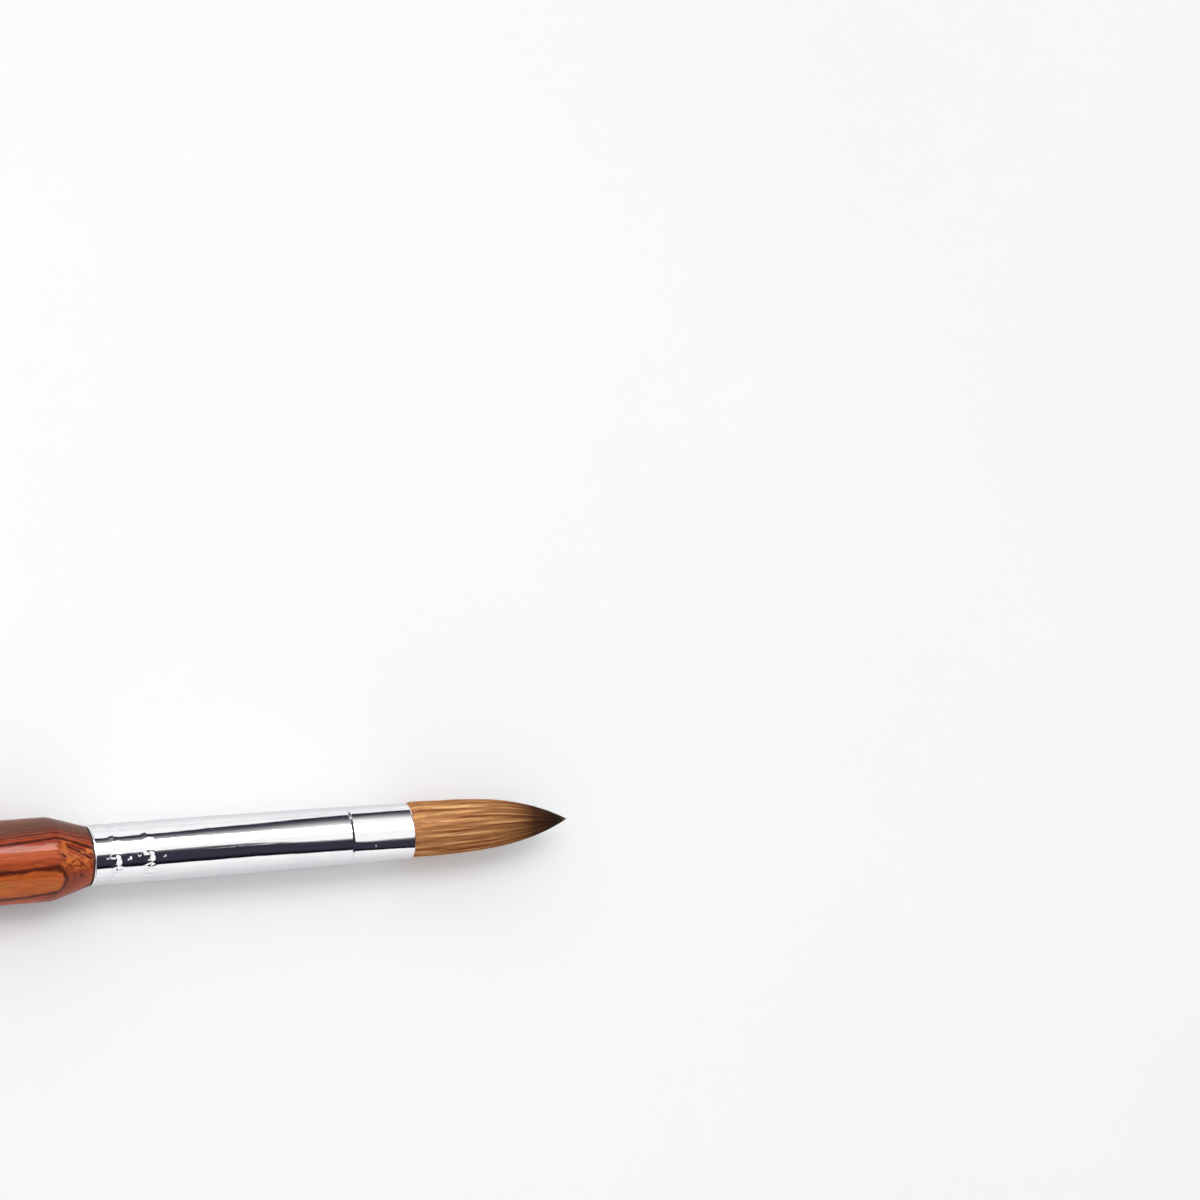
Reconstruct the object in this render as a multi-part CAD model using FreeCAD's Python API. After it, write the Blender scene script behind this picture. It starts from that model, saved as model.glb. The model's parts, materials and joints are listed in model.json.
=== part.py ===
"""Acrylic nail brush: a pinched metal ferrule that carries a sable tuft on a turned hardwood handle.

Millimetres. The axis of the brush is X, and the tuft points to +X. The origin is the centre of the
ferrule's mouth, the front rim that the hair leaves. The two flats pressed into the front of the
ferrule face +Z and -Z, so the brush lies on a table with its flats level.
"""

import FreeCAD, Part
import math
import os

# ---------------------------------------------------------------- driving dimensions
# Ferrule: a drawn tube, parallel over the handle's tenon, then narrowing to the neck.
ferrule_length = 30.7
ferrule_radius = 2.80         # outside, where it grips the handle
ferrule_wall = 0.30
neck_taper = 0.10             # radius lost between the tenon and the neck
rim_chamfer = 0.08            # at both ends of the tube

# Pinch: the front of the tube is pressed to an oval, which starts at a sharp step, the crease.
pinch_length = 6.0
pinch_ramp = 0.35             # length of the step at the crease
crease_pinch = 0.32           # how much less deep than wide the oval is, at the crease
mouth_pinch = 0.55            # the same, at the mouth
mouth_taper = 0.12            # half width lost between the crease and the mouth
flat_spread = 1.35            # radius of the flats over the oval's half width

# Crimps: rolled grooves that lock the ferrule onto the handle.
crimp_count = 2
crimp_setback = 2.0           # from the rear rim to the first groove
crimp_pitch = 3.1
crimp_width = 0.80
crimp_depth = 0.14

# Tuft: the hair outside the ferrule, with a straight belly and a sharp point.
hair_out = 15.7
belly_inset = 0.12            # the belly lies this far inside the mouth's outer edge
flex_offset = 1.20            # from the mouth to the line that the tuft bends about
flex_clearance = 0.055        # round the tuft's rounded base

# Roots: the same hair inside the ferrule, tied into a waist and cut off behind it.
roots_setback = 0.30          # the roots stop this far inside the mouth
roots_tail = 2.65             # how far they reach behind the neck
waist_inset = 0.45            # from the bore to the hair, under the thread
butt_inset = 0.35             # the same, at the cut end
butt_flare = 0.40             # length over which the waist widens to the butt

# Binding: turns of thread round the waist.
thread_radius = 0.13
thread_turns = 4
thread_bite = 0.04            # neighbouring turns press into each other
binding_setback = 0.60        # from the butt to the rearmost turn

# Resin: sets the bound roots in the tube.
resin_lead = 0.60             # in front of the foremost turn
resin_tail = 2.20             # behind the butt

# Handle: tenon, cone, cylindrical grip and a long slender tail.
handle_length = 129.4         # outside the ferrule
tenon_length = 10.0
tenon_chamfer = 0.50
grip_swell = 1.00             # how far the grip stands proud of the ferrule
grip_length = 21.0
cone_length = 3.5
cone_fillet = 2.6             # between the cone and the grip
shoulder_round = 0.26
tail_radius = 2.35
swell_share = 0.22            # of the tail's length, held near the grip's radius
slim_share = 0.30             # of the tail's length, held near the tail's radius

# Joints between the pieces.
glue_thickness = 0.08         # film between tenon and tube
glue_line = 0.10              # between the handle's shoulder and the rear rim
glue_recess = 0.22            # the glue line lies this far below the surface
seat_gap = 0.01               # between a piece and what it is bedded in

# ---------------------------------------------------------------- what follows from them
rear_rim = -ferrule_length
tenon_end = rear_rim + tenon_length
shoulder = rear_rim - glue_line
tail_end = shoulder - handle_length
crease = -pinch_length
neck = crease - pinch_ramp
crimp_places = [rear_rim + crimp_setback + i * crimp_pitch for i in range(crimp_count)]

tube_bore = ferrule_radius - ferrule_wall
neck_radius = ferrule_radius - neck_taper
neck_bore = neck_radius - ferrule_wall
tenon_radius = tube_bore - glue_thickness
grip_radius = ferrule_radius + grip_swell

mouth_half_width = neck_radius - mouth_taper
mouth_half_depth = mouth_half_width - mouth_pinch
tuft_half_width = mouth_half_width - belly_inset
tuft_half_depth = math.hypot(flex_offset, mouth_half_depth - ferrule_wall) - flex_clearance

roots_butt = neck - roots_tail
waist_radius = neck_bore - waist_inset
butt_radius = neck_bore - butt_inset
thread_pitch = 2 * thread_radius - thread_bite
thread_places = [roots_butt + binding_setback + i * thread_pitch for i in range(thread_turns)]
waist_front = thread_places[-1] + thread_radius

AXIS = FreeCAD.Vector(1, 0, 0)
ORIGIN = FreeCAD.Vector(0, 0, 0)
HALF = math.sqrt(0.5)         # sine and cosine of 45 degrees


# ---------------------------------------------------------------- helpers
def at(x, r):
    """A point of a turned outline: x along the axis, r from it."""
    return FreeCAD.Vector(x, 0, r)


def outline(start, *steps):
    """Edges from start. A step of 2 numbers is a line to (x, r), one of 4 an arc through (x, r) to
    (x, r), and a list is a Bezier curve whose further poles it holds."""
    edges = []
    here = at(*start)
    for step in steps:
        if isinstance(step, list):
            poles = [here] + [at(*pole) for pole in step]
            curve = Part.BezierCurve()
            curve.setPoles(poles)
            edges.append(curve.toShape())
            here = poles[-1]
        elif len(step) == 4:
            end = at(*step[2:])
            edges.append(Part.Arc(here, at(*step[:2]), end).toShape())
            here = end
        else:
            end = at(*step)
            edges.append(Part.LineSegment(here, end).toShape())
            here = end
    return edges


def turned(edges):
    """The solid that these edges sweep round the axis. They start and end on the axis."""
    closing = Part.LineSegment(edges[-1].Vertexes[-1].Point, edges[0].Vertexes[0].Point).toShape()
    face = Part.Face(Part.Wire(edges + [closing]))
    return face.revolve(ORIGIN, AXIS, 360)


def crimp_steps(radius, places):
    """Outline steps along a cylinder of this radius, with a groove at each place, in the order given."""
    steps = []
    forward = 1 if places[-1] >= places[0] else -1
    for place in places:
        entry = place - forward * crimp_width / 2
        leave = place + forward * crimp_width / 2
        steps += [(entry, radius), (place, radius - crimp_depth, leave, radius)]
    return steps


def oval_joint(half_width, half_depth):
    """(y, z) where the wide arc over a flat meets the tight arc at the side, on an oval of four arcs."""
    flat = flat_spread * half_width
    lift = flat - half_depth
    side = (flat**2 - half_width**2 - lift**2) / (2 * (flat - half_width))
    side_centre = half_width - side
    reach = math.hypot(side_centre, lift)
    return flat * side_centre / reach, flat * lift / reach - lift


def ring(x, half_width, half_depth, joint):
    """A closed wire of four arcs across the axis at x, through joint=(y, z) and its mirror images."""
    y, z = joint
    corners = [(y, -z), (y, z), (-y, z), (-y, -z)]
    middles = [(half_width, 0), (0, half_depth), (-half_width, 0), (0, -half_depth)]
    edges = []
    for i, middle in enumerate(middles):
        points = [corners[i], middle, corners[(i + 1) % 4]]
        edges.append(Part.Arc(*[FreeCAD.Vector(x, *point) for point in points]).toShape())
    return Part.Wire(edges)


def oval(x, half_width, half_depth):
    return ring(x, half_width, half_depth, oval_joint(half_width, half_depth))


def circle(x, radius, beside):
    """A circle cut into four arcs at the angles where the oval beside it is."""
    y, z = oval_joint(*beside)
    scale = radius / math.hypot(y, z)
    return ring(x, radius, radius, (y * scale, z * scale))


def pinched_front(inset, rim):
    """The pressed front of the tube, inset all round. rim is how far the mouth is chamfered."""
    at_crease = (neck_radius - inset, neck_radius - crease_pinch - inset)
    at_mouth = (mouth_half_width - inset, mouth_half_depth - inset)
    wires = [circle(neck, neck_radius - inset, at_crease), oval(crease, *at_crease)]
    if rim:
        wires += [oval(-rim, *at_mouth), oval(0, *[size - rim for size in at_mouth])]
    else:
        wires.append(oval(0, *at_mouth))
    return Part.makeLoft(wires, True, True)


def slab(x_low, x_high):
    """Everything between two planes across the axis, wider than the brush."""
    reach = 4 * grip_radius
    return Part.makeBox(x_high - x_low, reach, reach, FreeCAD.Vector(x_low, -reach / 2, -reach / 2))


def bore_at(x):
    """The tube's bore radius at x, in its parallel and its tapering stretch."""
    share = (neck - x) / (neck - tenon_end)
    return neck_bore + neck_taper * min(1, share)


def tuft_body(grow):
    """The tuft, grown all round. Behind the bending line it is an ellipsoid, and in front of it the
    belly and point, whose half width falls as 1 - t^3: that is what these four poles give. It is
    turned round, and then pressed to its depth, which leaves its base round about the bending line."""
    wide = tuft_half_width + grow
    deep = tuft_half_depth + grow
    tip = hair_out + grow
    step = (tip - flex_offset) / 3
    ellipse = Part.Ellipse(at(flex_offset, wide), at(flex_offset - deep, 0), at(flex_offset, 0))
    if wide < deep:
        ellipse = Part.Ellipse(at(flex_offset - deep, 0), at(flex_offset, wide), at(flex_offset, 0))
    quarter = Part.ArcOfEllipse(ellipse, 0, math.pi / 2).toShape()
    belly = outline(
        (flex_offset, wide),
        [(flex_offset + step, wide), (flex_offset + 2 * step, wide), (tip, 0)],
    )
    edges = Part.sortEdges([quarter] + belly)[0]
    closing = Part.LineSegment(at(tip, 0), at(flex_offset - deep, 0)).toShape()
    face = Part.Face(Part.Wire(edges + [closing]))
    press = FreeCAD.Matrix()
    press.scale(1, 1, deep / wide)
    return face.revolve(ORIGIN, AXIS, 360).transformGeometry(press)


# ---------------------------------------------------------------- the pieces
def make_handle():
    slope = math.atan2(grip_swell, cone_length)
    tangent = cone_fillet * math.tan(slope / 2)
    corner = shoulder - cone_length
    fillet_start = (corner + tangent * math.cos(slope), grip_radius - tangent * math.sin(slope))
    fillet_middle = (
        corner - tangent + cone_fillet * math.sin(slope / 2),
        grip_radius - cone_fillet * (1 - math.cos(slope / 2)),
    )
    grip_end = corner - grip_length
    tail_start = tail_end + tail_radius
    tail_length = grip_end - tail_start
    edge = shoulder_round * (1 - HALF)
    return turned(outline(
        (tenon_end, 0),
        (tenon_end, tenon_radius - tenon_chamfer),
        (tenon_end - tenon_chamfer, tenon_radius),
        *crimp_steps(tenon_radius, crimp_places[::-1]),
        (shoulder, tenon_radius),
        (shoulder, ferrule_radius - shoulder_round),
        (shoulder - edge, ferrule_radius - edge, shoulder - shoulder_round, ferrule_radius),
        fillet_start,
        (*fillet_middle, corner - tangent, grip_radius),
        (grip_end, grip_radius),
        [
            (grip_end - swell_share * tail_length, grip_radius),
            (tail_start + slim_share * tail_length, tail_radius),
            (tail_start, tail_radius),
        ],
        (tail_start - tail_radius * HALF, tail_radius * HALF, tail_end, 0),
    ))


def make_tenon_glue():
    """A film round the tenon, with a lip that fills the line between the shoulder and the rear rim."""
    outer = tube_bore - seat_gap
    inner = tenon_radius + seat_gap
    front = tenon_end - tenon_chamfer
    lip = ferrule_radius - glue_recess
    shell = turned(outline(
        (shoulder + seat_gap, 0),
        (shoulder + seat_gap, lip),
        (rear_rim - seat_gap, lip),
        (rear_rim - seat_gap, outer),
        *crimp_steps(outer, crimp_places),
        (front, outer),
        (front, 0),
    ))
    core = turned(outline(
        (shoulder, 0),
        (shoulder, inner),
        *crimp_steps(inner, crimp_places),
        (front + seat_gap, inner),
        (front + seat_gap, 0),
    ))
    return shell.cut(core)


def make_ferrule():
    outside = turned(outline(
        (rear_rim, 0),
        (rear_rim, ferrule_radius - rim_chamfer),
        (rear_rim + rim_chamfer, ferrule_radius),
        *crimp_steps(ferrule_radius, crimp_places),
        (tenon_end, ferrule_radius),
        (neck, neck_radius),
        (neck, 0),
    ))
    bore = turned(outline(
        (rear_rim, 0),
        (rear_rim, tube_bore),
        *crimp_steps(tube_bore, crimp_places),
        (tenon_end, tube_bore),
        (neck, neck_bore),
        (neck, 0),
    ))
    tube = outside.cut(bore)
    front = pinched_front(0, rim_chamfer).cut(pinched_front(ferrule_wall, 0))
    return tube.fuse(front).removeSplitter()


def roots_solid(grow):
    """The roots: they fill the pinched front, narrow to the waist and flare out to the cut butt."""
    bedding = ferrule_wall + seat_gap - grow
    front = pinched_front(bedding, 0).common(slab(neck, -roots_setback))
    back = turned(outline(
        (neck, 0),
        (neck, neck_radius - bedding),
        (waist_front, waist_radius + grow),
        (roots_butt + butt_flare, waist_radius + grow),
        (roots_butt - grow, butt_radius + grow),
        (roots_butt - grow, 0),
    ))
    return front.fuse(back)


def make_hair_roots():
    return roots_solid(0).cut(tuft_body(flex_clearance)).removeSplitter()


def thread_coil(grow):
    """The turns of thread, pulled down side by side round the waist."""
    coil_radius = waist_radius + seat_gap + thread_radius
    turns = [
        Part.makeTorus(coil_radius, thread_radius + grow, FreeCAD.Vector(place, 0, 0), AXIS)
        for place in thread_places
    ]
    return turns[0].multiFuse(turns[1:])


def make_root_binding():
    return thread_coil(0)


def make_resin_plug():
    """Cast resin, from in front of the binding to behind the butt of the roots. It doesn't get into
    the pockets between one turn of thread and the next."""
    front = thread_places[-1] + resin_lead
    back = roots_butt - resin_tail
    cast = turned(outline(
        (back, 0),
        (back, bore_at(back) - seat_gap),
        (front, bore_at(front) - seat_gap),
        (front, 0),
    ))
    filled = cast.cut(roots_solid(seat_gap)).cut(thread_coil(seat_gap))
    return max(filled.Solids, key=lambda solid: solid.Volume)


def make_hair_tuft():
    return tuft_body(0)


PIECES = {
    "handle": make_handle,
    "tenon_glue": make_tenon_glue,
    "ferrule": make_ferrule,
    "resin_plug": make_resin_plug,
    "root_binding": make_root_binding,
    "hair_roots": make_hair_roots,
    "hair_tuft": make_hair_tuft,
}

os.makedirs("parts", exist_ok=True)
for name, make in PIECES.items():
    shape = make()
    shape.exportStep(f"parts/{name}.step")
    print(f"{name}: {len(shape.Solids)} solid, {shape.Volume:.1f} mm3, valid {shape.isValid()}")
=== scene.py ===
"""The acrylic nail brush dressed: lacquered wood, bright metal and hair, on a pale floor."""
import json
import math
from collections import namedtuple

import bpy
import numpy as np
from mathutils import Matrix, Vector


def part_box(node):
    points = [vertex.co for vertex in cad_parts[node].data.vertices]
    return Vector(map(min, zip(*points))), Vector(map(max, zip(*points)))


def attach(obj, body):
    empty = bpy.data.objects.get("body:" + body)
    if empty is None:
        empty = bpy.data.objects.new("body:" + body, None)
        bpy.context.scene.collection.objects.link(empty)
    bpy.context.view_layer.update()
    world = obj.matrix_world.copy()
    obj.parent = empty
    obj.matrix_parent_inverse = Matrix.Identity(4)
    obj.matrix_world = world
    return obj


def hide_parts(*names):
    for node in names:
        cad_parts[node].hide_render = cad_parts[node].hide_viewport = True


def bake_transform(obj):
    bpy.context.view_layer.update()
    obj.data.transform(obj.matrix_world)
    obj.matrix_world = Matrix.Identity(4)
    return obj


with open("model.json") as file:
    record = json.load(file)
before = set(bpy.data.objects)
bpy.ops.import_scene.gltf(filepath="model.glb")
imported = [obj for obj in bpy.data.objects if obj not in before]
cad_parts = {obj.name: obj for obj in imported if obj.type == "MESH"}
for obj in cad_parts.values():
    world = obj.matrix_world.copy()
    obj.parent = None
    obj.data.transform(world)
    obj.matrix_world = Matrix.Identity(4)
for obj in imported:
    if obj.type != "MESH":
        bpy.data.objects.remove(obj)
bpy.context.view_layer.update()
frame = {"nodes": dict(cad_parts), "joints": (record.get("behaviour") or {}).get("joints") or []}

MM = 0.001


# ---------------------------------------------------------------- sizes, in millimetres, from the frame
def box_mm(node_name):
    low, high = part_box(node_name)
    return Vector(low) / MM, Vector(high) / MM


ferrule_low, ferrule_high = box_mm("ferrule")
handle_low, handle_high = box_mm("handle")
tuft_high = box_mm("hair_tuft")[1]
flex = Vector(frame["joints"][0]["pos_m"]) / MM

REAR = ferrule_low.x              # the ferrule's rear rim
BARREL = ferrule_high.z           # its outer radius at the handle
NECK = BARREL - 0.10              # its outer radius at the pinch
TENON_FRONT = handle_high.x       # where it starts to narrow
CREASE = -6.0                     # where the flats start, behind the mouth at 0
RAMP = 0.30                       # length of the step behind them
WALL = 0.30
TIP = tuft_high.x
BELLY_WIDTH = tuft_high.y         # half sizes of the tuft's oval
BELLY_DEPTH = tuft_high.z
MOUTH_HALF_WIDTH = BELLY_WIDTH + 0.12
FLOOR = handle_low.z              # the grip's underside lies on the floor
GRIP_FRONT = REAR - 3.6           # where the grip's cylinder gives way to the cone


# ---------------------------------------------------------------- shader helpers
def new_material(name):
    material = bpy.data.materials.new(name)
    material.use_nodes = True
    material.node_tree.nodes.clear()
    return material, material.node_tree


def node(tree, kind, settings=None, **inputs):
    """Adds a node. An input that is a socket is linked, and any other value is set on the socket."""
    made = tree.nodes.new("ShaderNode" + kind)
    for name, value in (settings or {}).items():
        setattr(made, name, value)
    for name, value in inputs.items():
        socket = made.inputs[int(name[1:]) if name[0] == "_" else name.replace("_", " ")]
        if isinstance(value, bpy.types.NodeSocket):
            tree.links.new(value, socket)
        else:
            socket.default_value = value
    return made


def calc(tree, operation, a, b=0.0, c=0.0):
    return node(tree, "Math", {"operation": operation}, _0=a, _1=b, _2=c).outputs[0]


def product(tree, *factors):
    total = factors[0]
    for factor in factors[1:]:
        total = calc(tree, "MULTIPLY", total, factor)
    return total


def vector_calc(tree, operation, a, b=(0, 0, 0)):
    made = node(tree, "VectorMath", {"operation": operation}, _0=a, _1=b)
    return made.outputs["Value" if operation in ("LENGTH", "DOT_PRODUCT") else "Vector"]


def stretched(tree, vector, x, y, z):
    return vector_calc(tree, "MULTIPLY", vector, (x, y, z))


def coordinate(tree, place, axis):
    return node(tree, "SeparateXYZ", Vector=place).outputs[axis]


def place_mm(tree):
    """The point's own coordinates, in millimetres."""
    spot = node(tree, "TexCoord").outputs["Object"]
    return stretched(tree, spot, 1 / MM, 1 / MM, 1 / MM)


def noise(tree, vector, scale, detail=2.0, roughness=0.5, **more):
    made = node(tree, "TexNoise", Vector=vector, Scale=scale, Detail=detail, Roughness=roughness, **more)
    return made.outputs["Fac"]


def grain(tree, place, lengthwise, crosswise, detail=2.0, roughness=0.5):
    """Noise with one rate along the brush and another across it."""
    drawn_out = stretched(tree, place, lengthwise, crosswise, crosswise)
    return noise(tree, drawn_out, 1.0, detail, roughness)


def between(tree, value, start, full):
    """0 where the value is start, 1 where it is full, and smooth between. start may be the larger."""
    settings = {"interpolation_type": "SMOOTHSTEP"}
    made = node(tree, "MapRange", settings, Value=value, From_Min=start, From_Max=full)
    return made.outputs["Result"]


def mix(tree, factor, a, b, blend="MIX"):
    made = node(tree, "Mix", {"data_type": "RGBA", "blend_type": blend}, _0=factor, _6=a, _7=b)
    return made.outputs[2]


def ramp(tree, factor, stops):
    made = node(tree, "ValToRGB", Fac=factor)
    elements = made.color_ramp.elements
    while len(elements) < len(stops):
        elements.new(0.5)
    for element, (position, colour) in zip(elements, stops):
        element.position = position
        element.color = colour if len(colour) == 4 else (*colour, 1)
    return made.outputs["Color"]


def grey(value):
    return (value, value, value, 1)


def bump(tree, strength, distance, height):
    """A normal that follows a height. distance is in millimetres."""
    return node(tree, "Bump", Strength=strength, Distance=distance * MM, Height=height).outputs[0]


def finish_material(tree, surface):
    node(tree, "OutputMaterial", Surface=surface)


def principled(tree, **inputs):
    """Ends a material in one principled shader."""
    finish_material(tree, node(tree, "BsdfPrincipled", **inputs).outputs[0])


# ---------------------------------------------------------------- wood
# The wood is sawn so that its growth layers cross the grip at a slant. A layer is named by its level, the
# distance in millimetres from the brush's axis towards the bark.
BARK_TURN = math.radians(44.5)    # from +Z towards -Y
PITH = 18.0                       # the rings' centre lies this far from the axis, away from the bark
LEVEL_SPAN = 4.0                  # the ramps reach this far to both sides of the axis

LAYERS = [                        # level and colour of the wood's growth layers, inside to bark
    (-3.8, (0.17, 0.042, 0.015)),
    (-2.0, (0.24, 0.060, 0.019)),
    (-0.4, (0.13, 0.046, 0.026)),
    (1.02, (0.12, 0.043, 0.025)),
    (1.41, (0.18, 0.038, 0.017)),
    (1.98, (0.34, 0.059, 0.022)),
    (2.38, (0.29, 0.040, 0.017)),
    (2.88, (0.42, 0.082, 0.020)),
    (3.28, (0.39, 0.067, 0.017)),
    (3.45, (0.30, 0.050, 0.015)),
    (3.8, (0.42, 0.092, 0.018)),
]
VEINS = [                         # level, half width and strength of the dark late wood lines
    (-2.9, 0.12, 0.8), (-1.5, 0.14, 0.8), (0.32, 0.08, 0.5), (1.02, 0.06, 0.5),
    (1.31, 0.06, 0.7), (1.63, 0.10, 0.9), (1.86, 0.04, 0.7), (2.14, 0.16, 1.0), (3.36, 0.03, 0.4),
    (3.62, 0.105, 0.95),
]
SHORT_VEINS = [                   # veins that show on one side of the cone only
    (2.43, 0.06, 0.9), (2.60, 0.09, 1.0), (2.77, 0.04, 0.7), (2.98, 0.05, 0.8), (3.13, 0.10, 1.0),
    (3.31, 0.05, 0.8),
]
# Where each mark in the wood starts and where it is full: in level, along X and sideways.
LOOP_LEVELS = (3.50, 3.66)        # the edge of the long loop on the grip
RED_LEVELS = (2.46, 3.05)
RED_ALONG = (GRIP_FRONT - 2.2, GRIP_FRONT - 0.4)
RED_SIDEWAYS = (1.65, 0.2)
ORANGE_LEVELS = (1.85, 2.25)
ORANGE_ALONG = (GRIP_FRONT, GRIP_FRONT + 0.8)
ORANGE_SIDEWAYS = (0.4, 1.1)
FLECK_LEVELS = (1.98, 2.55)
SHORT_VEINS_ALONG = (GRIP_FRONT - 0.3, GRIP_FRONT + 0.5)
SHORT_VEINS_SIDEWAYS = (-0.8, 0.3)

OLIVE = (0.34, 0.135, 0.016, 1)
DEEP_RED = (0.19, 0.032, 0.015, 1)
ORANGE = (0.56, 0.150, 0.032, 1)
FIBRE = (0.86, 0.80, 0.78, 1)
FLECK = (0.54, 0.150, 0.040, 1)
LATE_WOOD = (0.080, 0.010, 0.004, 1)
PORE = (0.11, 0.018, 0.008, 1)

TWIST = 0.12                      # how far the layers turn to and fro along the handle, in radians
TWIST_MIDDLE = REAR - 4.1         # where that swing starts, to both sides
TWIST_RATE = 0.25                 # its radians to the millimetre there
TWIST_FADE = 0.06                 # and how soon it slows away from there
WANDER, WAVE, RIPPLE = 0.4, 0.22, 0.12      # how far slow and fast noise moves the level


def sideways(tree, place):
    """How far a place lies along the layers, across the brush's axis."""
    return vector_calc(tree, "DOT_PRODUCT", place, (0, math.cos(BARK_TURN), math.sin(BARK_TURN)))


def layer_twist(tree, place):
    """The turn of the layers round the axis at a place, in radians."""
    off = calc(tree, "SUBTRACT", coordinate(tree, place, "X"), TWIST_MIDDLE)
    slower = calc(tree, "MULTIPLY_ADD", calc(tree, "ABSOLUTE", off), TWIST_FADE, 1.0)
    swing = calc(tree, "DIVIDE", product(tree, off, TWIST_RATE), slower)
    return product(tree, calc(tree, "SINE", swing), TWIST)


def grown_level(tree, place):
    """The level of the growth layer at a place, with the layers' twist, waves and slow wander."""
    centre = (0, -PITH * math.sin(BARK_TURN), PITH * math.cos(BARK_TURN))
    from_pith = vector_calc(tree, "ADD", place, centre)
    level = vector_calc(tree, "LENGTH", stretched(tree, from_pith, 0, 1, 1))
    level = calc(tree, "SUBTRACT", level, PITH)
    level = calc(tree, "MULTIPLY_ADD", layer_twist(tree, place), sideways(tree, place), level)
    fields = [
        (grain(tree, place, 0.07, 0.10, 1.0), WANDER),
        (grain(tree, place, 0.35, 0.5), WAVE),
        (grain(tree, place, 1.1, 2.6), RIPPLE),
    ]
    for field, reach in fields:
        level = calc(tree, "MULTIPLY_ADD", calc(tree, "SUBTRACT", field, 0.5), reach, level)
    return level


def level_ramp(tree, level, stops):
    """Colours or greys over the level. stops are (level, colour)."""
    share = calc(tree, "MULTIPLY_ADD", level, 0.5 / LEVEL_SPAN, 0.5)
    return ramp(tree, share, [(0.5 + 0.5 * at / LEVEL_SPAN, colour) for at, colour in stops])


def vein_strength(tree, level, veins):
    """How dark the late wood is at a level. Every other vein goes into one ramp, the rest into another,
    because a ramp holds 32 stops."""
    ramps = []
    for part in (veins[::2], veins[1::2]):
        stops = []
        for at, half, strength in part:
            stops += [(at - half, grey(0.0)), (at - 0.3 * half, grey(strength))]
            stops += [(at + 0.5 * half, grey(strength)), (at + 0.9 * half, grey(0.0))]
        ramps.append(level_ramp(tree, level, stops))
    return calc(tree, "MAXIMUM", *ramps)


def layer_colour(tree, place, level, patch, figure):
    """The growth layers, with olive patches inside the loop, deep red ahead of it, and orange on one side
    of the cone."""
    x = coordinate(tree, place, "X")
    across = sideways(tree, place)
    in_loop, outside_loop = between(tree, level, *LOOP_LEVELS), between(tree, level, *LOOP_LEVELS[::-1])
    olive = product(tree, between(tree, patch, 0.48, 0.62), in_loop, 0.4)
    deep_red = product(
        tree, between(tree, level, *RED_LEVELS), outside_loop, between(tree, x, *RED_ALONG),
        between(tree, across, *RED_SIDEWAYS), 0.80,
    )
    orange = product(
        tree, between(tree, figure, 0.44, 0.58), between(tree, x, *ORANGE_ALONG),
        between(tree, across, *ORANGE_SIDEWAYS), between(tree, level, *ORANGE_LEVELS), 0.8,
    )
    body = level_ramp(tree, level, LAYERS)
    body = mix(tree, olive, body, OLIVE)
    body = mix(tree, deep_red, body, DEEP_RED)
    return mix(tree, orange, body, ORANGE)


def late_wood(tree, place, level, patch, figure):
    """How dark the veins are at a place. The long ones fade in patches, and the short ones keep to the
    cone."""
    long = product(tree, vein_strength(tree, level, VEINS), between(tree, patch, 0.90, 0.55))
    short = product(
        tree, vein_strength(tree, level, SHORT_VEINS),
        between(tree, coordinate(tree, place, "X"), *SHORT_VEINS_ALONG),
        between(tree, sideways(tree, place), *SHORT_VEINS_SIDEWAYS), between(tree, figure, 0.60, 0.46),
    )
    return calc(tree, "MAXIMUM", long, short)


def make_wood():
    """Red hardwood under a clear gloss lacquer: growth layers, dark veins, fine fibres, short pores."""
    material, tree = new_material("lacquered_wood")
    place = place_mm(tree)
    level = grown_level(tree, place)
    patch = grain(tree, place, 0.25, 0.7)
    figure = grain(tree, place, 0.7, 1.3)
    fibre = grain(tree, place, 0.55, 8.0, 3.0, 0.6)
    fleck = grain(tree, place, 1.6, 9.0, 2.0, 0.6)
    pores = grain(tree, place, 0.9, 7.0, 1.0)
    lacquer_wave = grain(tree, place, 0.5, 1.6)

    body = layer_colour(tree, place, level, patch, figure)
    body = mix(tree, between(tree, fibre, 0.30, 0.78), body, FIBRE, "OVERLAY")
    flecked = product(tree, between(tree, fleck, 0.58, 0.72), between(tree, level, *FLECK_LEVELS))
    body = mix(tree, flecked, body, FLECK)
    body = mix(tree, late_wood(tree, place, level, patch, figure), body, LATE_WOOD)
    body = mix(tree, between(tree, pores, 0.73, 0.80), body, PORE)
    principled(
        tree, Base_Color=body, Roughness=0.45, Specular_IOR_Level=0.04,
        Normal=bump(tree, 0.3, 0.05, fibre), Coat_Weight=0.40, Coat_Roughness=0.10, Coat_IOR=1.5,
        Coat_Normal=bump(tree, 0.22, 0.10, lacquer_wave),
    )
    return material


# ---------------------------------------------------------------- other materials
def painted_crease_shade(tree, place):
    """1 on a painted dark line of shade along the crease, across the middle of the flats."""
    middle_x, middle_y = CREASE - RAMP / 2, 0.30
    from_crease = calc(tree, "SUBTRACT", coordinate(tree, place, "X"), middle_x)
    off_middle = calc(tree, "SUBTRACT", coordinate(tree, place, "Y"), middle_y)
    return product(
        tree, between(tree, calc(tree, "ABSOLUTE", from_crease), 0.16, 0.10),
        between(tree, calc(tree, "ABSOLUTE", off_middle), 1.60, 1.30),
        between(tree, grain(tree, place, 2.0, 2.2), 0.20, 0.45),
    )


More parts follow.
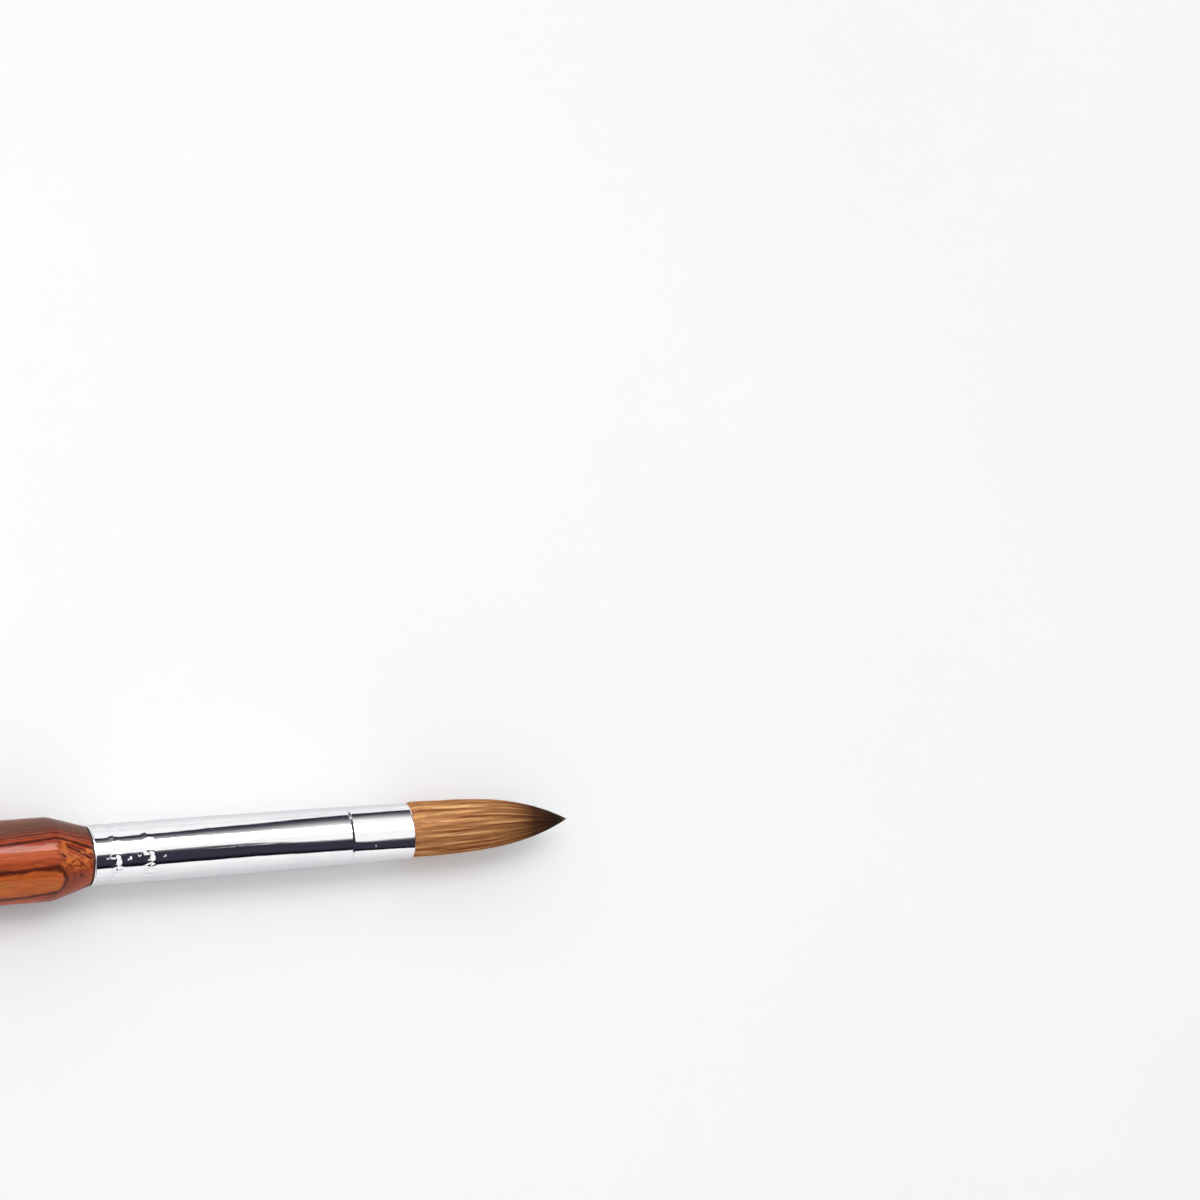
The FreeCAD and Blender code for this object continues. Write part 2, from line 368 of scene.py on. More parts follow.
def make_bright_metal():
    """Plated tube, polished lengthwise: faint drawn lines, a little haze, and a painted dark line of
    shade across the middle of the crease."""
    material, tree = new_material("bright_metal")
    place = place_mm(tree)
    lines = grain(tree, place, 0.35, 7.0)
    cloud = grain(tree, place, 0.5, 0.9, 3.0)
    tint = ramp(tree, cloud, [(0.3, (0.90, 0.90, 0.92)), (0.7, (0.95, 0.95, 0.955))])
    # painted shade: a dark line mixed into the metal's colour along the crease
    tint = mix(tree, painted_crease_shade(tree, place), tint, (0.045, 0.043, 0.050, 1))
    rough = node(tree, "MapRange", Value=lines, From_Min=0.3, From_Max=0.7, To_Min=0.02, To_Max=0.07)
    principled(
        tree, Base_Color=tint, Metallic=1.0, Roughness=rough.outputs[0],
        Normal=bump(tree, 0.12, 0.02, lines),
    )
    return material


def make_hair_material():
    """Golden-brown hair with lighter and darker strands, nearly black towards the tip and glassy at its
    very end. The strands' tone also carries painted shade on the tuft's sides and on the core."""
    material, tree = new_material("hair")
    along = node(tree, "Attribute", {"attribute_name": "along"}).outputs["Fac"]
    tone = node(tree, "Attribute", {"attribute_name": "tone"}).outputs["Fac"]
    shaft = ramp(tree, along, [
        (0.00, (0.58, 0.262, 0.088)),
        (0.15, (0.65, 0.302, 0.102)),
        (0.35, (0.62, 0.287, 0.097)),
        (0.55, (0.56, 0.252, 0.082)),
        (0.66, (0.42, 0.180, 0.052)),
        (0.72, (0.32, 0.125, 0.035)),
        (0.80, (0.10, 0.032, 0.010)),
        (0.93, (0.036, 0.014, 0.006)),
        (0.965, (0.06, 0.035, 0.02)),
        (1.00, (0.42, 0.30, 0.16)),
    ])
    # a low tone darkens the hair: its own darker strands, and the painted shade on the tuft's sides and
    # core
    dark = product(tree, between(tree, tone, 0.52, 0.10), 0.9)
    light = product(tree, between(tree, tone, 0.50, 0.84), 0.85)
    body = mix(tree, dark, shaft, (0.49, 0.24, 0.11, 1), "MULTIPLY")
    body = mix(tree, light, body, (1.75, 2.35, 3.1, 1), "MULTIPLY")
    principled(tree, Base_Color=body, Roughness=0.40, Specular_IOR_Level=0.2)
    return material


def make_root_material():
    """The roots' cut face and sides: hair ends side by side."""
    material, tree = new_material("bound_hair")
    ends = grain(tree, place_mm(tree), 0.8, 12.0)
    body = ramp(tree, ends, [(0.35, (0.10, 0.035, 0.010)), (0.65, (0.40, 0.17, 0.05))])
    principled(tree, Base_Color=body, Roughness=0.6, Normal=bump(tree, 0.4, 0.06, ends))
    return material


def make_thread_material():
    """Waxed linen: two plies that twist round the thread."""
    material, tree = new_material("waxed_thread")
    place = place_mm(tree)
    # The plies' twist, to a radian round the bundle and to a millimetre along it.
    plies_round, plies_along = 34.0, 24.0
    turn = calc(tree, "ARCTAN2", coordinate(tree, place, "Y"), coordinate(tree, place, "Z"))
    twist = product(tree, coordinate(tree, place, "X"), plies_along)
    twist = calc(tree, "MULTIPLY_ADD", turn, plies_round, twist)
    ply = calc(tree, "MULTIPLY_ADD", calc(tree, "SINE", twist), 0.5, 0.5)
    fuzz = noise(tree, place, 14.0)
    shade = calc(tree, "MULTIPLY_ADD", fuzz, 0.4, product(tree, ply, 0.6))
    body = ramp(tree, shade, [(0.2, (0.42, 0.35, 0.24)), (0.8, (0.66, 0.59, 0.45))])
    principled(tree, Base_Color=body, Roughness=0.7, Normal=bump(tree, 0.5, 0.04, ply))
    return material


def make_resin_material():
    """Cast amber resin with small bubbles and darker streams."""
    material, tree = new_material("cast_resin")
    place = place_mm(tree)
    stream = noise(tree, place, 0.7, 3.0, Distortion=1.2)
    bubbles = node(tree, "TexVoronoi", Vector=place, Scale=2.6).outputs["Distance"]
    body = ramp(tree, stream, [(0.3, (0.28, 0.14, 0.035)), (0.7, (0.50, 0.30, 0.10))])
    body = mix(tree, between(tree, bubbles, 0.16, 0.10), body, (0.70, 0.52, 0.28, 1))
    principled(
        tree, Base_Color=body, Roughness=0.18, Coat_Weight=0.5, Normal=bump(tree, 0.3, 0.05, bubbles),
    )
    return material


def make_glue_material():
    """Cured dark adhesive, slightly lumpy."""
    material, tree = new_material("cured_glue")
    lumps = noise(tree, place_mm(tree), 3.0, 3.0)
    body = ramp(tree, lumps, [(0.35, (0.010, 0.006, 0.006)), (0.7, (0.040, 0.022, 0.018))])
    principled(tree, Base_Color=body, Roughness=0.5, Normal=bump(tree, 0.4, 0.05, lumps))
    return material


# ---------------------------------------------------------------- mesh helpers
def mesh_object(name, points, faces, material):
    """An object with smooth faces. points are millimetres."""
    mesh = bpy.data.meshes.new(name)
    mesh.from_pydata((np.asarray(points) * MM).tolist(), [], faces)
    mesh.polygons.foreach_set("use_smooth", [True] * len(mesh.polygons))
    mesh.materials.append(material)
    mesh.update()
    made = bpy.data.objects.new(name, mesh)
    bpy.context.scene.collection.objects.link(made)
    return made


def give_values(made, name, values):
    """Gives each point of an object a number that its material can read."""
    layer = made.data.attributes.new(name, "FLOAT", "POINT")
    layer.data.foreach_set("value", values.astype(np.float32))


def skin(rows, columns):
    """Quads between rows of points that each close on themselves."""
    faces = []
    for row in range(rows - 1):
        for column in range(columns):
            after = (column + 1) % columns
            low = row * columns
            high = low + columns
            faces.append((low + column, low + after, high + after, high + column))
    return faces


def dress(name, material):
    """Gives a CAD node its material."""
    materials = frame["nodes"][name].data.materials
    materials.clear()
    materials.append(material)


def smooth(value):
    value = np.clip(value, 0, 1)
    return value * value * (3 - 2 * value)


def circle(count):
    """count angles round a ring, evenly spaced."""
    return np.arange(count) * 2 * math.pi / count


# ---------------------------------------------------------------- ferrule
AROUND = 288                      # points in a ring
RIM = 0.10                        # length of the rolled rims
RIM_STEPS = 9
REAR_WALL = WALL - 0.02           # the wall at the rear rim, whose bore stays clear of the glue
SETTLE = 9.0                      # the tube starts to lose its roundness this far behind the crease

# How much less deep than wide the tube is, and how much its flats' radius exceeds its half width: over
# the tenon, and what the neck, the step at the crease and the way to the mouth each add.
PINCH = {"tenon": 0.004, "neck": 0.05, "step": 0.266, "mouth": 0.23}
SPREAD = {"tenon": 0.010, "neck": 0.12, "step": 0.82, "mouth": -0.04}

CRIMP_PLACES = [REAR + 2.0, REAR + 5.1]
CRIMP_HALF_WIDTH = 0.57
CRIMP_DEPTH = 0.080
CRIMP_GAP = math.radians(62)      # from +Y towards +Z, where the tool's jaws meet and hardly press
CRIMP_GAP_SPREAD = 0.42           # half the gap's width, in radians
CRIMP_GAP_LOSS = 0.86             # the share of the press that is lost in its middle

# Small dents that handling leaves: place along the axis, angle from +Y in degrees, size and depth.
NICK = -3.98
DENTS = [
    (REAR + 1.20, 108.5, 0.110, 0.032),
    (REAR + 3.15, 111.5, 0.190, 0.060),
    (REAR + 4.16, 107.5, 0.110, 0.032),
    (REAR + 6.45, 112.0, 0.115, 0.042),
    (NICK, 120.0, 0.120, 0.042),
]


def pinched_ring(half_width, pinch, spread, angle):
    """y and z of an oval of four arcs where its normal stands at this angle from +Y."""
    flat = half_width + spread
    lift = flat - (half_width - pinch)
    side = (flat**2 - half_width**2 - lift**2) / (2 * (flat - half_width))
    side_centre = half_width - side
    along, up = np.cos(angle), np.sin(angle)
    on_flat = np.abs(up) * side_centre > np.abs(along) * lift
    y = np.where(on_flat, flat * along, side_centre * np.sign(along) + side * along)
    z = np.where(on_flat, flat * up - lift * np.sign(up), side * up)
    return y, z


def tube_section(x):
    """Half width, pinch and spread of the ferrule's outside at x."""
    taper = np.clip((x - TENON_FRONT) / (CREASE - RAMP - TENON_FRONT), 0, 1)
    neck = smooth((x - (CREASE - SETTLE)) / SETTLE)
    step = np.clip((x - (CREASE - RAMP)) / RAMP, 0, 1)
    mouth = np.clip((x - CREASE) / -CREASE, 0, 1)
    half_width = BARREL + (NECK - BARREL) * taper
    half_width = half_width + (MOUTH_HALF_WIDTH - NECK) * mouth

    def total(of):
        return of["tenon"] + of["neck"] * neck + step * (of["step"] + of["mouth"] * mouth)

    return half_width, total(PINCH), total(SPREAD)


def crimp_sink(x, angle):
    """How far the rolled grooves sink the wall, uneven round the tube as a crimping tool leaves it."""
    from_gap = (angle - CRIMP_GAP + math.pi) % (2 * math.pi) - math.pi
    pressed = 1 - CRIMP_GAP_LOSS * np.exp(-((from_gap / CRIMP_GAP_SPREAD) ** 2))
    sink = 0
    for i, place in enumerate(CRIMP_PLACES):
        # A groove wanders along the tube, and its depth comes and goes.
        wander = 0.06 * np.sin(9 * angle + 1.3 * i) + 0.05 * np.sin(23 * angle + 2.1 * i)
        uneven = 1 + 0.25 * np.sin(13 * angle + i) + 0.25 * np.sin(31 * angle + 2 * i)
        off = np.abs(x - place - wander) / CRIMP_HALF_WIDTH
        groove = np.clip(1 - off, 0, 1) ** 1.3
        sink = sink + CRIMP_DEPTH * pressed * uneven * groove
    return sink


def dent_sink(x, angle):
    """How far the dents sink the wall."""
    sink = 0
    for place, degrees, size, depth in DENTS:
        around = (angle - math.radians(degrees)) * BARREL
        sink = sink + depth * np.exp(-((x - place) ** 2 + around**2) / size**2)
    return sink


def ferrule_stations():
    """Where the rings of the outside stand: close together at the crimps, the crease and the nick."""
    crimps_end = REAR + 7.2
    step_start = CREASE - RAMP - 0.3
    step_end = CREASE + 0.4
    return np.concatenate([
        np.arange(REAR + RIM, crimps_end, 0.06),
        np.arange(crimps_end, step_start, 0.45),
        np.arange(step_start, step_end, 0.035),
        np.arange(step_end, NICK - 0.42, 0.12),
        np.arange(NICK - 0.36, NICK + 0.38, 0.05),
        np.arange(NICK + 0.45, -RIM, 0.12),
    ])


def tube_ring(x, inset, angle):
    """One ring of the tube, this far inside its section at x."""
    y, z = pinched_ring(*tube_section(np.float64(x)), angle)
    return np.stack([
        np.full(AROUND, float(x)), y - inset * np.cos(angle), z - inset * np.sin(angle),
    ], 1)


def make_ferrule(material):
    """The tube's outside, its two rolled rims and the start of its bore at both ends."""
    angle = circle(AROUND)
    over_rim = np.linspace(0, math.pi, RIM_STEPS)
    rear_bore = [(REAR + 0.8, REAR_WALL), (REAR + 0.05, REAR_WALL)]
    mouth_bore = [(-0.6, WALL), (-2.5, WALL)]
    rings = list(rear_bore)
    for turn in over_rim:
        rings.append((REAR + RIM * (1 - math.sin(turn)), REAR_WALL / 2 + REAR_WALL / 2 * math.cos(turn)))
    for x in ferrule_stations():
        rings.append((x, crimp_sink(x, angle) + dent_sink(x, angle)))
    for turn in over_rim:
        rings.append((-RIM * (1 - math.sin(turn)), WALL / 2 - WALL / 2 * math.cos(turn)))
    rings += mouth_bore
    points = np.concatenate([tube_ring(x, inset, angle) for x, inset in rings])
    made = mesh_object("ferrule_tube", points, skin(len(rings), AROUND), material)
    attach(made, "brush")
    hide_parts("ferrule")


# ---------------------------------------------------------------- hair
HAIR_BACK = -2.2                  # where the strands start, inside the mouth
HAIR_CLEARANCE = 0.02             # between the hair and the wall there
HAIR_PINCH = 0.55                 # how much less deep than wide its half section is there
STRANDS = 1900
STRAND_STEPS = 13
STRAND_SIDES = 3
STRAND_RADIUS = 0.046
STRAND_TAPER = 0.85               # the share of it that is lost by the strand's end
STRAND_WANDER = 0.020             # how far a strand strays round the tuft, in radians
LOCK_SWAY = 0.035                 # and its whole lock with it
LOCK_HEIGHT = 0.022               # how proud a lock stands, as a share of the section
GOLDEN_TURN = 0.61803398875       # the share of a turn from one strand to the next
DEEPEST = 0.22                    # the innermost strands lie this share of the way to the axis
SHORT_STRANDS = 0.35              # the share of strands that end early
SHORT_REACH = 6.5                 # up to this far behind the tip
POINT_POWER = 3.2                 # how late the belly gives way to the point
LEAN_Y = 0.12                     # the middle of the belly bows this far to +Y
CUFF = 0.06                       # just outside the mouth the +Y side swells by twice this
CORE_ROWS, CORE_COLUMNS = 26, 48
CORE_END = TIP - 0.6
CORE_SHARE = 0.86                 # the core's half sizes as a share of the hair's

# A strand's tone is 0 for the darkest hair and 1 for the lightest. These say how far it strays from
# MIDDLE_TONE: by chance, in broad bands, in streaks, and as painted shade on the tuft's two sides.
MIDDLE_TONE = 0.54
TONE_SCATTER, TONE_BANDS, TONE_STREAKS = 0.085, 0.09, 0.33
# painted shade: how much darker the strands are on the +Y and the -Y side of the tuft
PAINTED_SHADE_BACK, PAINTED_SHADE_FRONT = 0.12, 0.20
# painted shade: the core's dark tone stands in for the shade deep between the strands
CORE_SHADE_TONE = 0.15

CELLS = math.ceil(math.sqrt(STRANDS))       # cells to a row of the flat map
STRANDS_STRIP = 0.9               # the share of the map's height that the strands' cells take

# A part of the hair. along and tone belong to its points, corners to its faces' corners.
Part = namedtuple("Part", "points faces along tone corners")


def lock_waves(seed, count, low, high):
    """Smooth random waves over the angle round the tuft and the way along it."""
    random = np.random.default_rng(seed)
    waves = []
    for _ in range(count):
        turns = random.integers(low, high)
        waves.append((turns, random.uniform(-1.2, 1.2), random.uniform(0, 2 * math.pi)))

    def value(angle, along):
        total = sum(np.sin(turns * angle + slide * along * 9 + phase) for turns, slide, phase in waves)
        return total / math.sqrt(len(waves))

    return value


ridge = lock_waves(3, 5, 16, 40)            # locks stand proud
shade = lock_waves(5, 6, 7, 22)             # broad lighter and darker bands
streak = lock_waves(8, 6, 14, 36)           # narrow streaks
broken = lock_waves(13, 6, 12, 30)          # where the streaks come and go
sway = lock_waves(17, 5, 5, 13)             # neighbours lean together


def hair_section(x):
    """Half width and half depth of the hair at x, and how far its centre lies off the axis."""
    inside_width = MOUTH_HALF_WIDTH - WALL - HAIR_CLEARANCE
    inside_depth = inside_width - HAIR_PINCH
    t = np.clip((x - flex.x) / (TIP - flex.x), 0, 1)
    point = 1 - t**POINT_POWER
    swell = smooth((x + 0.30) / 0.65)
    cuff = CUFF * swell * np.exp(-(((x - 0.6) / 2.2) ** 2))
    width = (inside_width + (BELLY_WIDTH - inside_width) * swell + cuff) * point
    depth = (inside_depth + (BELLY_DEPTH - inside_depth) * swell) * point
    shift = LEAN_Y * swell * np.sin(math.pi * np.clip(0.2 + 0.8 * t, 0, 1)) + cuff
    return width, depth, shift


def way_along(x):
    """0 at the back of the hair, 1 at its tip."""
    return (x - HAIR_BACK) / (TIP - HAIR_BACK)


def quad_corners(rows, columns, corner):
    """The flat map's corners of the quads that skin makes, in the same order."""
    corners = []
    for row in range(rows - 1):
        for column in range(columns):
            corners += [corner(row, column), corner(row, column + 1)]
            corners += [corner(row + 1, column + 1), corner(row + 1, column)]
    return corners


def strand_map(number):
    """The corners of one strand's faces on the flat map, laid out in a small cell of its own."""
    row, column = divmod(number, CELLS)
    margin = 0.12

    def corner(step, side):
        u = margin + (1 - 2 * margin) * step / (STRAND_STEPS - 1)
        v = margin + (1 - 2 * margin) * side / STRAND_SIDES
        return (column + u) / CELLS, STRANDS_STRIP * (row + v) / CELLS

    end = [corner(STRAND_STEPS - 1, side) for side in range(STRAND_SIDES)]
    return quad_corners(STRAND_STEPS, STRAND_SIDES, corner) + end


def core_map():
    """The corners of the core's faces on the flat map, in the strip above the strands' cells."""
    def corner(row, column):
        return 0.01 + 0.98 * row / (CORE_ROWS - 1), 0.92 + 0.07 * column / CORE_COLUMNS

    back = [corner(0, column) for column in range(CORE_COLUMNS)][::-1]
    front = [corner(CORE_ROWS - 1, column) for column in range(CORE_COLUMNS)]
    return quad_corners(CORE_ROWS, CORE_COLUMNS, corner) + back + front


def make_strand(random, number):
    """One tapering strand, closed at its end."""
    angle = 2 * math.pi * (number * GOLDEN_TURN % 1) + random.normal(0, 0.01)
    inward = random.random() ** 2.2
    end = TIP - abs(random.normal(0, 1.3)) - 0.15 * inward
    if random.random() < SHORT_STRANDS:
        end = TIP - random.uniform(0.0, SHORT_REACH)
    facing = math.cos(angle)
    own_tone = MIDDLE_TONE + random.normal(0, TONE_SCATTER)
    # painted shade: the strand is darker the more it faces the tuft's side
    own_tone -= abs(facing) * (PAINTED_SHADE_BACK if facing > 0 else PAINTED_SHADE_FRONT)
    wave = random.uniform(0, 2 * math.pi)
    root_radius = STRAND_RADIUS * (0.75 + 0.5 * random.random())

    share = np.linspace(0, 1, STRAND_STEPS)
    radius = root_radius * (1 - STRAND_TAPER * share**2.5)
    x = HAIR_BACK + (end - HAIR_BACK) * share
    t = way_along(x)
    stray = STRAND_WANDER * np.sin(6 * t * math.pi + wave) + LOCK_SWAY * sway(angle, 2 * t)
    swing = angle + (1 - t) * stray
    lock = 1 + LOCK_HEIGHT * ridge(swing, t) * np.sin(np.clip(t * 1.3, 0, 1) * math.pi)
    proud = (1 - DEEPEST * inward) * lock
    middle = 0.50 + 0.50 * np.sin(math.pi * np.clip(t, 0, 1))
    patchy = np.clip(0.75 + 0.45 * broken(swing, 2.4 * t), 0.1, 1.6)
    streaks = TONE_STREAKS * middle * patchy * streak(swing, t)
    tone = own_tone + TONE_BANDS * shade(swing, t) + streaks

    width, depth, shift = hair_section(x)
    turn = swing[:, None] + circle(STRAND_SIDES)
    y = (width * proud * np.cos(swing) + shift)[:, None] + radius[:, None] * np.cos(turn)
    z = (depth * proud * np.sin(swing))[:, None] + radius[:, None] * np.sin(turn)
    points = np.stack([np.repeat(x, STRAND_SIDES), y.ravel(), z.ravel()], 1)
    faces = skin(STRAND_STEPS, STRAND_SIDES)
    faces.append(tuple(range(len(points) - STRAND_SIDES, len(points))))
    along, tone = np.repeat(t, STRAND_SIDES), np.repeat(tone, STRAND_SIDES)
    return Part(points, faces, along, tone, strand_map(number))


def make_core():
    """A closed body just under the strands, so that no light comes through between them.
    It is painted dark, as the shade deep between the strands.
    """
    x = np.repeat(np.linspace(HAIR_BACK, CORE_END, CORE_ROWS), CORE_COLUMNS)
    angle = np.tile(circle(CORE_COLUMNS), CORE_ROWS)
    width, depth, shift = hair_section(x)
    y = CORE_SHARE * width * np.cos(angle) + shift
    z = CORE_SHARE * depth * np.sin(angle)
    faces = skin(CORE_ROWS, CORE_COLUMNS)
    faces.append(tuple(range(CORE_COLUMNS))[::-1])
    faces.append(tuple(range(len(x) - CORE_COLUMNS, len(x))))
    return Part(np.stack([x, y, z], 1), faces, way_along(x), np.full(len(x), CORE_SHADE_TONE), core_map())


def make_hair(material):
    """Tapering strands in locks over a dark core, all one piece."""
    random = np.random.default_rng(21)
    parts = [make_strand(random, number) for number in range(STRANDS)] + [make_core()]
    points, along, tone = (
        np.concatenate([getattr(part, name) for part in parts]) for name in ("points", "along", "tone")
    )
    faces, corners, first = [], [], 0
    for part in parts:
        faces += [tuple(first + i for i in face) for face in part.faces]
        corners += part.corners
        first += len(part.points)

    made = mesh_object("hair_tuft_strands", points, faces, material)
    give_values(made, "along", along)
    give_values(made, "tone", tone)
    flat = made.data.uv_layers.new(name="OFBake")
    flat.data.foreach_set("uv", np.array(corners, np.float32).ravel())
    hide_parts("hair_tuft")
    return made


# ---------------------------------------------------------------- floor, light and camera
FLOOR_HALF = 3000
FRONT_AMBIENT = 0.62              # strength of the world's light from the front, -Y
BACK_AMBIENT = 0.92               # and from the back, +Y


def make_floor():
    """Pale grey, nearly white where the camera sees it, and in the mirrors painted darker near the brush
    as shade, whiter with distance.
    """
    material, tree = new_material("floor")
    place = place_mm(tree)
    mottle = grain(tree, place, 0.02, 0.02)
    plain = ramp(tree, mottle, [(0.3, grey(0.73)), (0.7, grey(0.75))])
    bright = ramp(tree, mottle, [(0.3, grey(0.97)), (0.7, grey(0.99))])
    away = calc(tree, "ABSOLUTE", coordinate(tree, place, "Y"))
    # painted shade: in the mirrors the floor is darker near the brush and whiter with distance
    mirrored = ramp(tree, calc(tree, "DIVIDE", away, 60.0), [
        (0.0, grey(0.78)), (0.12, grey(0.75)), (0.30, grey(0.85)), (1.0, grey(0.97)),
    ])
    path = node(tree, "LightPath").outputs
    tint = mix(tree, path["Is Glossy Ray"], plain, mirrored)
    tint = mix(tree, path["Is Camera Ray"], tint, bright)
    principled(tree, Base_Color=tint, Roughness=0.6, Specular_IOR_Level=0.2)
    far = FLOOR_HALF
    corners = [(-far, -far, FLOOR), (far, -far, FLOOR), (far, far, FLOOR), (-far, far, FLOOR)]
    made = mesh_object("floor", corners, [(0, 1, 2, 3)], material)


def make_softbox(name, turn, x_middle, width, length, distance, strength):
    """An area light over the brush, at turn degrees from +Z towards +Y, that faces the axis. Mirrors
    don't show it."""
    light = bpy.data.lights.new(name, "AREA")
    light.shape = "RECTANGLE"
    light.size = length * MM
    light.size_y = width * MM
    light.energy = strength * math.pi * length * width * MM**2
    made = bpy.data.objects.new(name, light)
    made.visible_glossy = False
    bpy.context.scene.collection.objects.link(made)
    angle = math.radians(turn)
    back = Vector((0, math.sin(angle), math.cos(angle)))
    right = Vector((1, 0, 0))
    up = back.cross(right)
    spot = Vector((x_middle, 0, 0)) + back * distance
    made.matrix_world = Matrix.Translation(spot * MM) @ Matrix((right, up, back)).transposed().to_4x4()


def make_world():
    """White for the camera, nearly so for reflections, and a soft pale grey for everything else."""
    world = bpy.data.worlds.new("studio")
    bpy.context.scene.world = world
    world.use_nodes = True
    tree = world.node_tree
    tree.nodes.clear()
    path = node(tree, "LightPath").outputs
    toward = node(tree, "TexCoord").outputs["Generated"]
    haze = ramp(tree, coordinate(tree, toward, "Z"), [(0.0, grey(0.86)), (0.26, grey(1.0))])
    mirrored = mix(tree, path["Is Glossy Ray"], grey(1.0), haze)
    seen = calc(tree, "MAXIMUM", path["Is Camera Ray"], path["Is Glossy Ray"])
    seen = calc(tree, "MAXIMUM", seen, path["Is Transmission Ray"])
    from_back = node(
        tree, "MapRange", Value=coordinate(tree, toward, "Y"), From_Min=-1.0,
        To_Min=FRONT_AMBIENT, To_Max=BACK_AMBIENT,
    ).outputs[0]
    ambient = node(tree, "Background", Color=(0.97, 0.98, 1.0, 1), Strength=from_back).outputs[0]
    white = node(tree, "Background", Color=mirrored, Strength=1.0).outputs[0]
    surface = node(tree, "MixShader", Fac=seen, _1=ambient, _2=white)
    node(tree, "OutputWorld", Surface=surface.outputs[0])


# The camera looks down on the brush from the handle's end, past the tip: the axis rises slightly to
# the right across the lower left of the picture.
AIM = Vector((22.45, 20.86, 0))
DISTANCE = 474.3
TOWARD_HANDLE = math.radians(21.6)
TOWARD_FRONT = math.radians(14.5)
ROLL = math.radians(3.49)
LENS = 150.0


def make_camera():
    back = Vector((
        -math.sin(TOWARD_HANDLE),
        -math.cos(TOWARD_HANDLE) * math.sin(TOWARD_FRONT),
        math.cos(TOWARD_HANDLE) * math.cos(TOWARD_FRONT),
    ))
    right = Vector((1, 0, 0)) - back * back.x
    right.normalize()
    right = Matrix.Rotation(-ROLL, 3, back) @ right
    up = back.cross(right)
    data = bpy.data.cameras.new("camera")
    data.lens = LENS
    data.sensor_width = 36.0
    data.clip_start = 0.01
    data.clip_end = 20.0
    made = bpy.data.objects.new("camera", data)
    bpy.context.scene.collection.objects.link(made)
    turned = Matrix((right, up, back)).transposed().to_4x4()
    made.matrix_world = Matrix.Translation((AIM + back * DISTANCE) * MM) @ turned
    bpy.context.scene.camera = made


# ---------------------------------------------------------------- cards that the metal mirrors
# The stripes in the metal are reflections of cards round the brush, which only mirrors see. A card's
# turns are in degrees from +Z towards +Y. Those of flag_back and flag_front change along X, so that the
# stripes taper.
CARD = 450                        # the cards' distance from the axis
SLIT_CARD = CARD - 5              # the slit's card stands just in front of flag_front
KEY_CARD = 400                    # the key light's card stands in front of them all
CARDS_LEFT = -1900                # how far the cards reach past the handle
CARDS_RIGHT = 440                 # where the end card stands, beyond the tip
MIRRORED = (96, 98, 130, 139, 153, 200, 235, 250, 265, 330)   # X where the turns below apply
BACK_LOW = (29, 29, 29, 30, 33, 41, 42, 42, 12, 12)
BACK_HIGH = (53, 52, 66, 71, 79, 74, 74, 74, 56, 56)
FRONT_LOW = (-65, -65, -64, -66, -71, -68, -70, -70, -75, -75)
FRONT_HIGH = (-11.7, -11.7, -9.4, -14, -23, -24, -21.5, -21, -20, -20)

BLACK = (0.007, 0.006, 0.012)
SOOT = (0.038, 0.035, 0.052)
SLATE = (0.075, 0.072, 0.095)
FRONT_SHADES = [                  # shades of a card, from its low turn to its high one
    (0.00, BLACK), (0.16, BLACK), (0.30, SOOT), (0.80, SOOT), (0.92, SLATE), (1.00, grey(0.4)),
]
BACK_SHADES = [
    (0.00, grey(0.95)), (0.25, grey(0.42)), (0.44, grey(0.20)), (0.60, SLATE), (0.82, SOOT),
    (0.93, BLACK),
]
END_SHADES = [
    (0.00, grey(0.7)), (0.06, SOOT), (0.19, SOOT), (0.22, grey(0.8)), (0.50, grey(0.8)), (0.53, SOOT),
    (1.00, SOOT),
]


def even(value):
    """The shades of a card that is the same all over."""
    return [(0.0, grey(value)), (1.0, grey(value))]


def make_card(name, points, columns, rows, stops):
    """A card that only mirrors see. points run in columns of rows, and stops colour it from its first
    row to its last."""
    material, tree = new_material(name)
    across = node(tree, "Attribute", {"attribute_name": "across"}).outputs["Fac"]
    colour = ramp(tree, across, stops)
    finish_material(tree, node(tree, "Emission", Color=colour, Strength=1.0).outputs[0])
    faces = [
        (c * rows + r, (c + 1) * rows + r, (c + 1) * rows + r + 1, c * rows + r + 1)
        for c in range(columns - 1) for r in range(rows - 1)
    ]
    made = mesh_object(name, points, faces, material)
    give_values(made, "across", np.tile(np.linspace(0, 1, rows), columns))
    made.visible_camera = False
    made.visible_diffuse = False
    made.visible_transmission = False
    made.visible_shadow = False


def turn_at(x, turn):
    """A card's edge at x. turn is one number, or a row of them for the places in MIRRORED."""
    return np.interp(x, MIRRORED, turn) if isinstance(turn, tuple) else turn


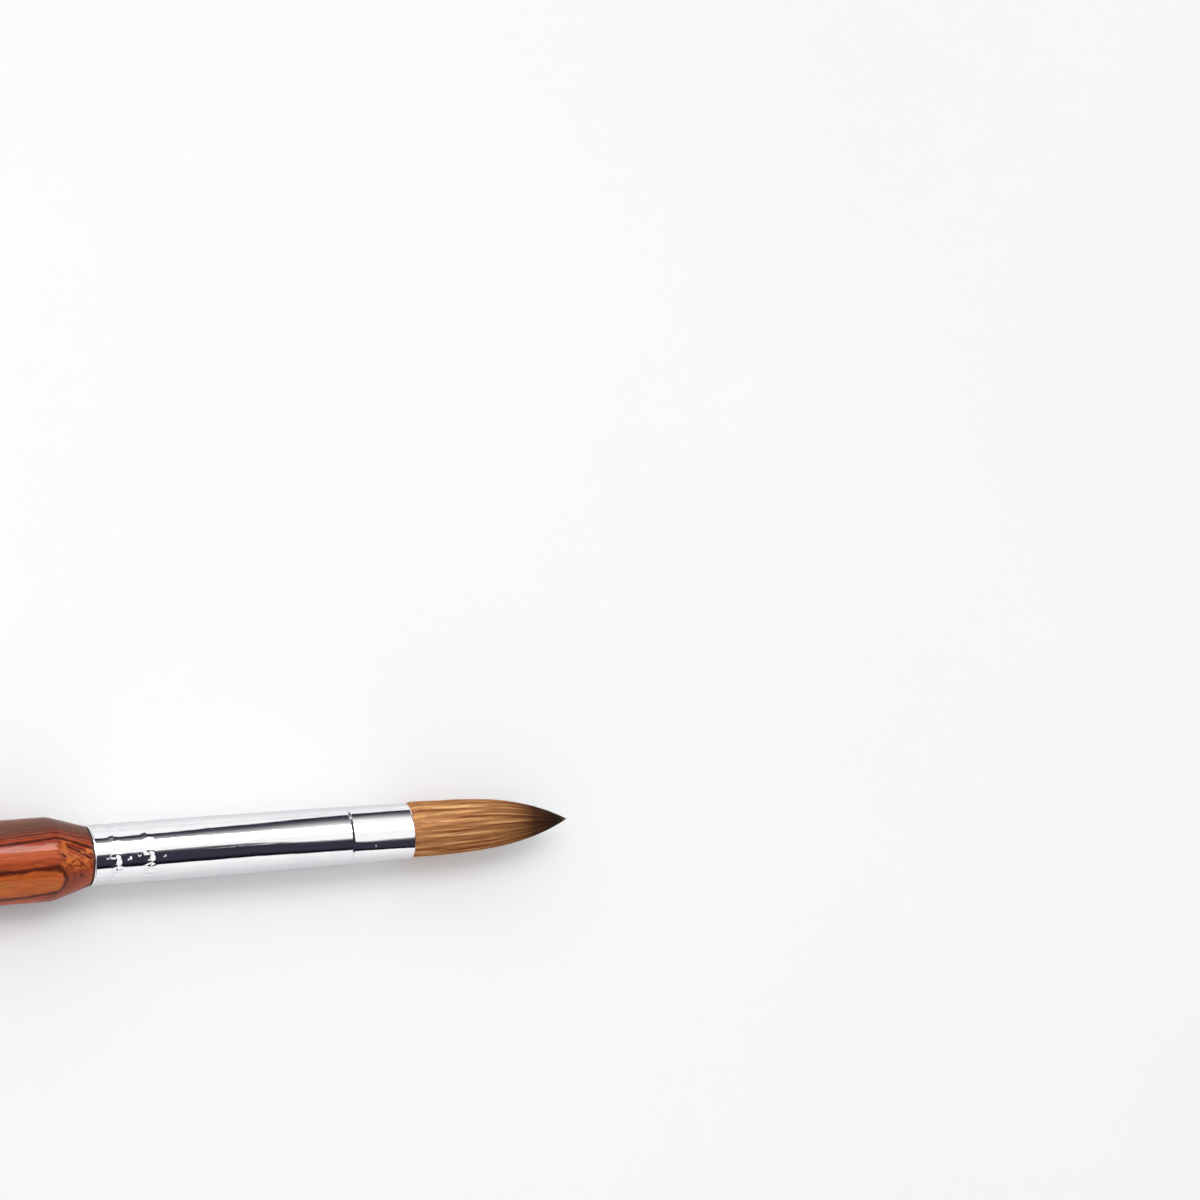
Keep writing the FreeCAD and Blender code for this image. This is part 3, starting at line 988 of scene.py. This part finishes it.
def make_flag(name, turns, reach, radius, stops):
    """A card bent round the brush's axis, between two turns and over a reach of X."""
    columns, rows = 150, 24
    points = []
    for x in np.linspace(*reach, columns):
        low, high = (math.radians(turn_at(x, turn)) for turn in turns)
        for turn in np.linspace(low, high, rows):
            points.append((x, radius * math.sin(turn), radius * math.cos(turn)))
    make_card(name, points, columns, rows, stops)


def make_end_flag(name, turns, x, radii, stops):
    """A flat card across the axis, beyond the tip: a sector between two radii, down to the floor."""
    columns, rows = 40, 40
    lowest = FLOOR + 1
    low, high = (math.radians(turn) for turn in turns)
    points = []
    for radius in np.linspace(*radii, columns):
        for turn in np.linspace(low, high, rows):
            points.append((x, radius * math.sin(turn), max(radius * math.cos(turn), lowest)))
    make_card(name, points, columns, rows, stops)


def make_cards():
    """Dark cards behind, in front and beyond the tip, a bright slit, and the key light's own card. The
    front is left open from X -170 to 0, because the crimps' bright patches mirror what is there."""
    make_flag("flag_back", (BACK_LOW, BACK_HIGH), (-200, CARDS_RIGHT), CARD, BACK_SHADES)
    make_flag("flag_front", (FRONT_LOW, FRONT_HIGH), (0, 700), CARD, FRONT_SHADES)
    make_flag("flag_back_left", (29, 53), (CARDS_LEFT, -201), CARD, BACK_SHADES)
    make_flag("flag_front_left", (-60, -16), (CARDS_LEFT, -170), CARD, FRONT_SHADES)
    make_end_flag("flag_end", (62, -95), CARDS_RIGHT, (10, 475), END_SHADES)
    make_flag("slit", (-18.5, -19.3), (123, 136), SLIT_CARD, even(1.0))
    make_flag("key_card", (4, 30), (-350, 196), KEY_CARD, even(11.0))


# ---------------------------------------------------------------- the brush
dress("handle", make_wood())
dress("tenon_glue", make_glue_material())
dress("resin_plug", make_resin_material())
dress("root_binding", make_thread_material())
dress("hair_roots", make_root_material())
make_ferrule(make_bright_metal())
hair = make_hair(make_hair_material())
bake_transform(hair)

# ---------------------------------------------------------------- the stage
make_floor()
make_cards()
make_softbox("key", turn=17, x_middle=-77, width=180, length=545, distance=KEY_CARD, strength=1.2)
make_softbox("fill", turn=-78, x_middle=60, width=130, length=500, distance=480, strength=0.4)
make_world()
make_camera()
bpy.context.scene.view_settings.view_transform = "Standard"
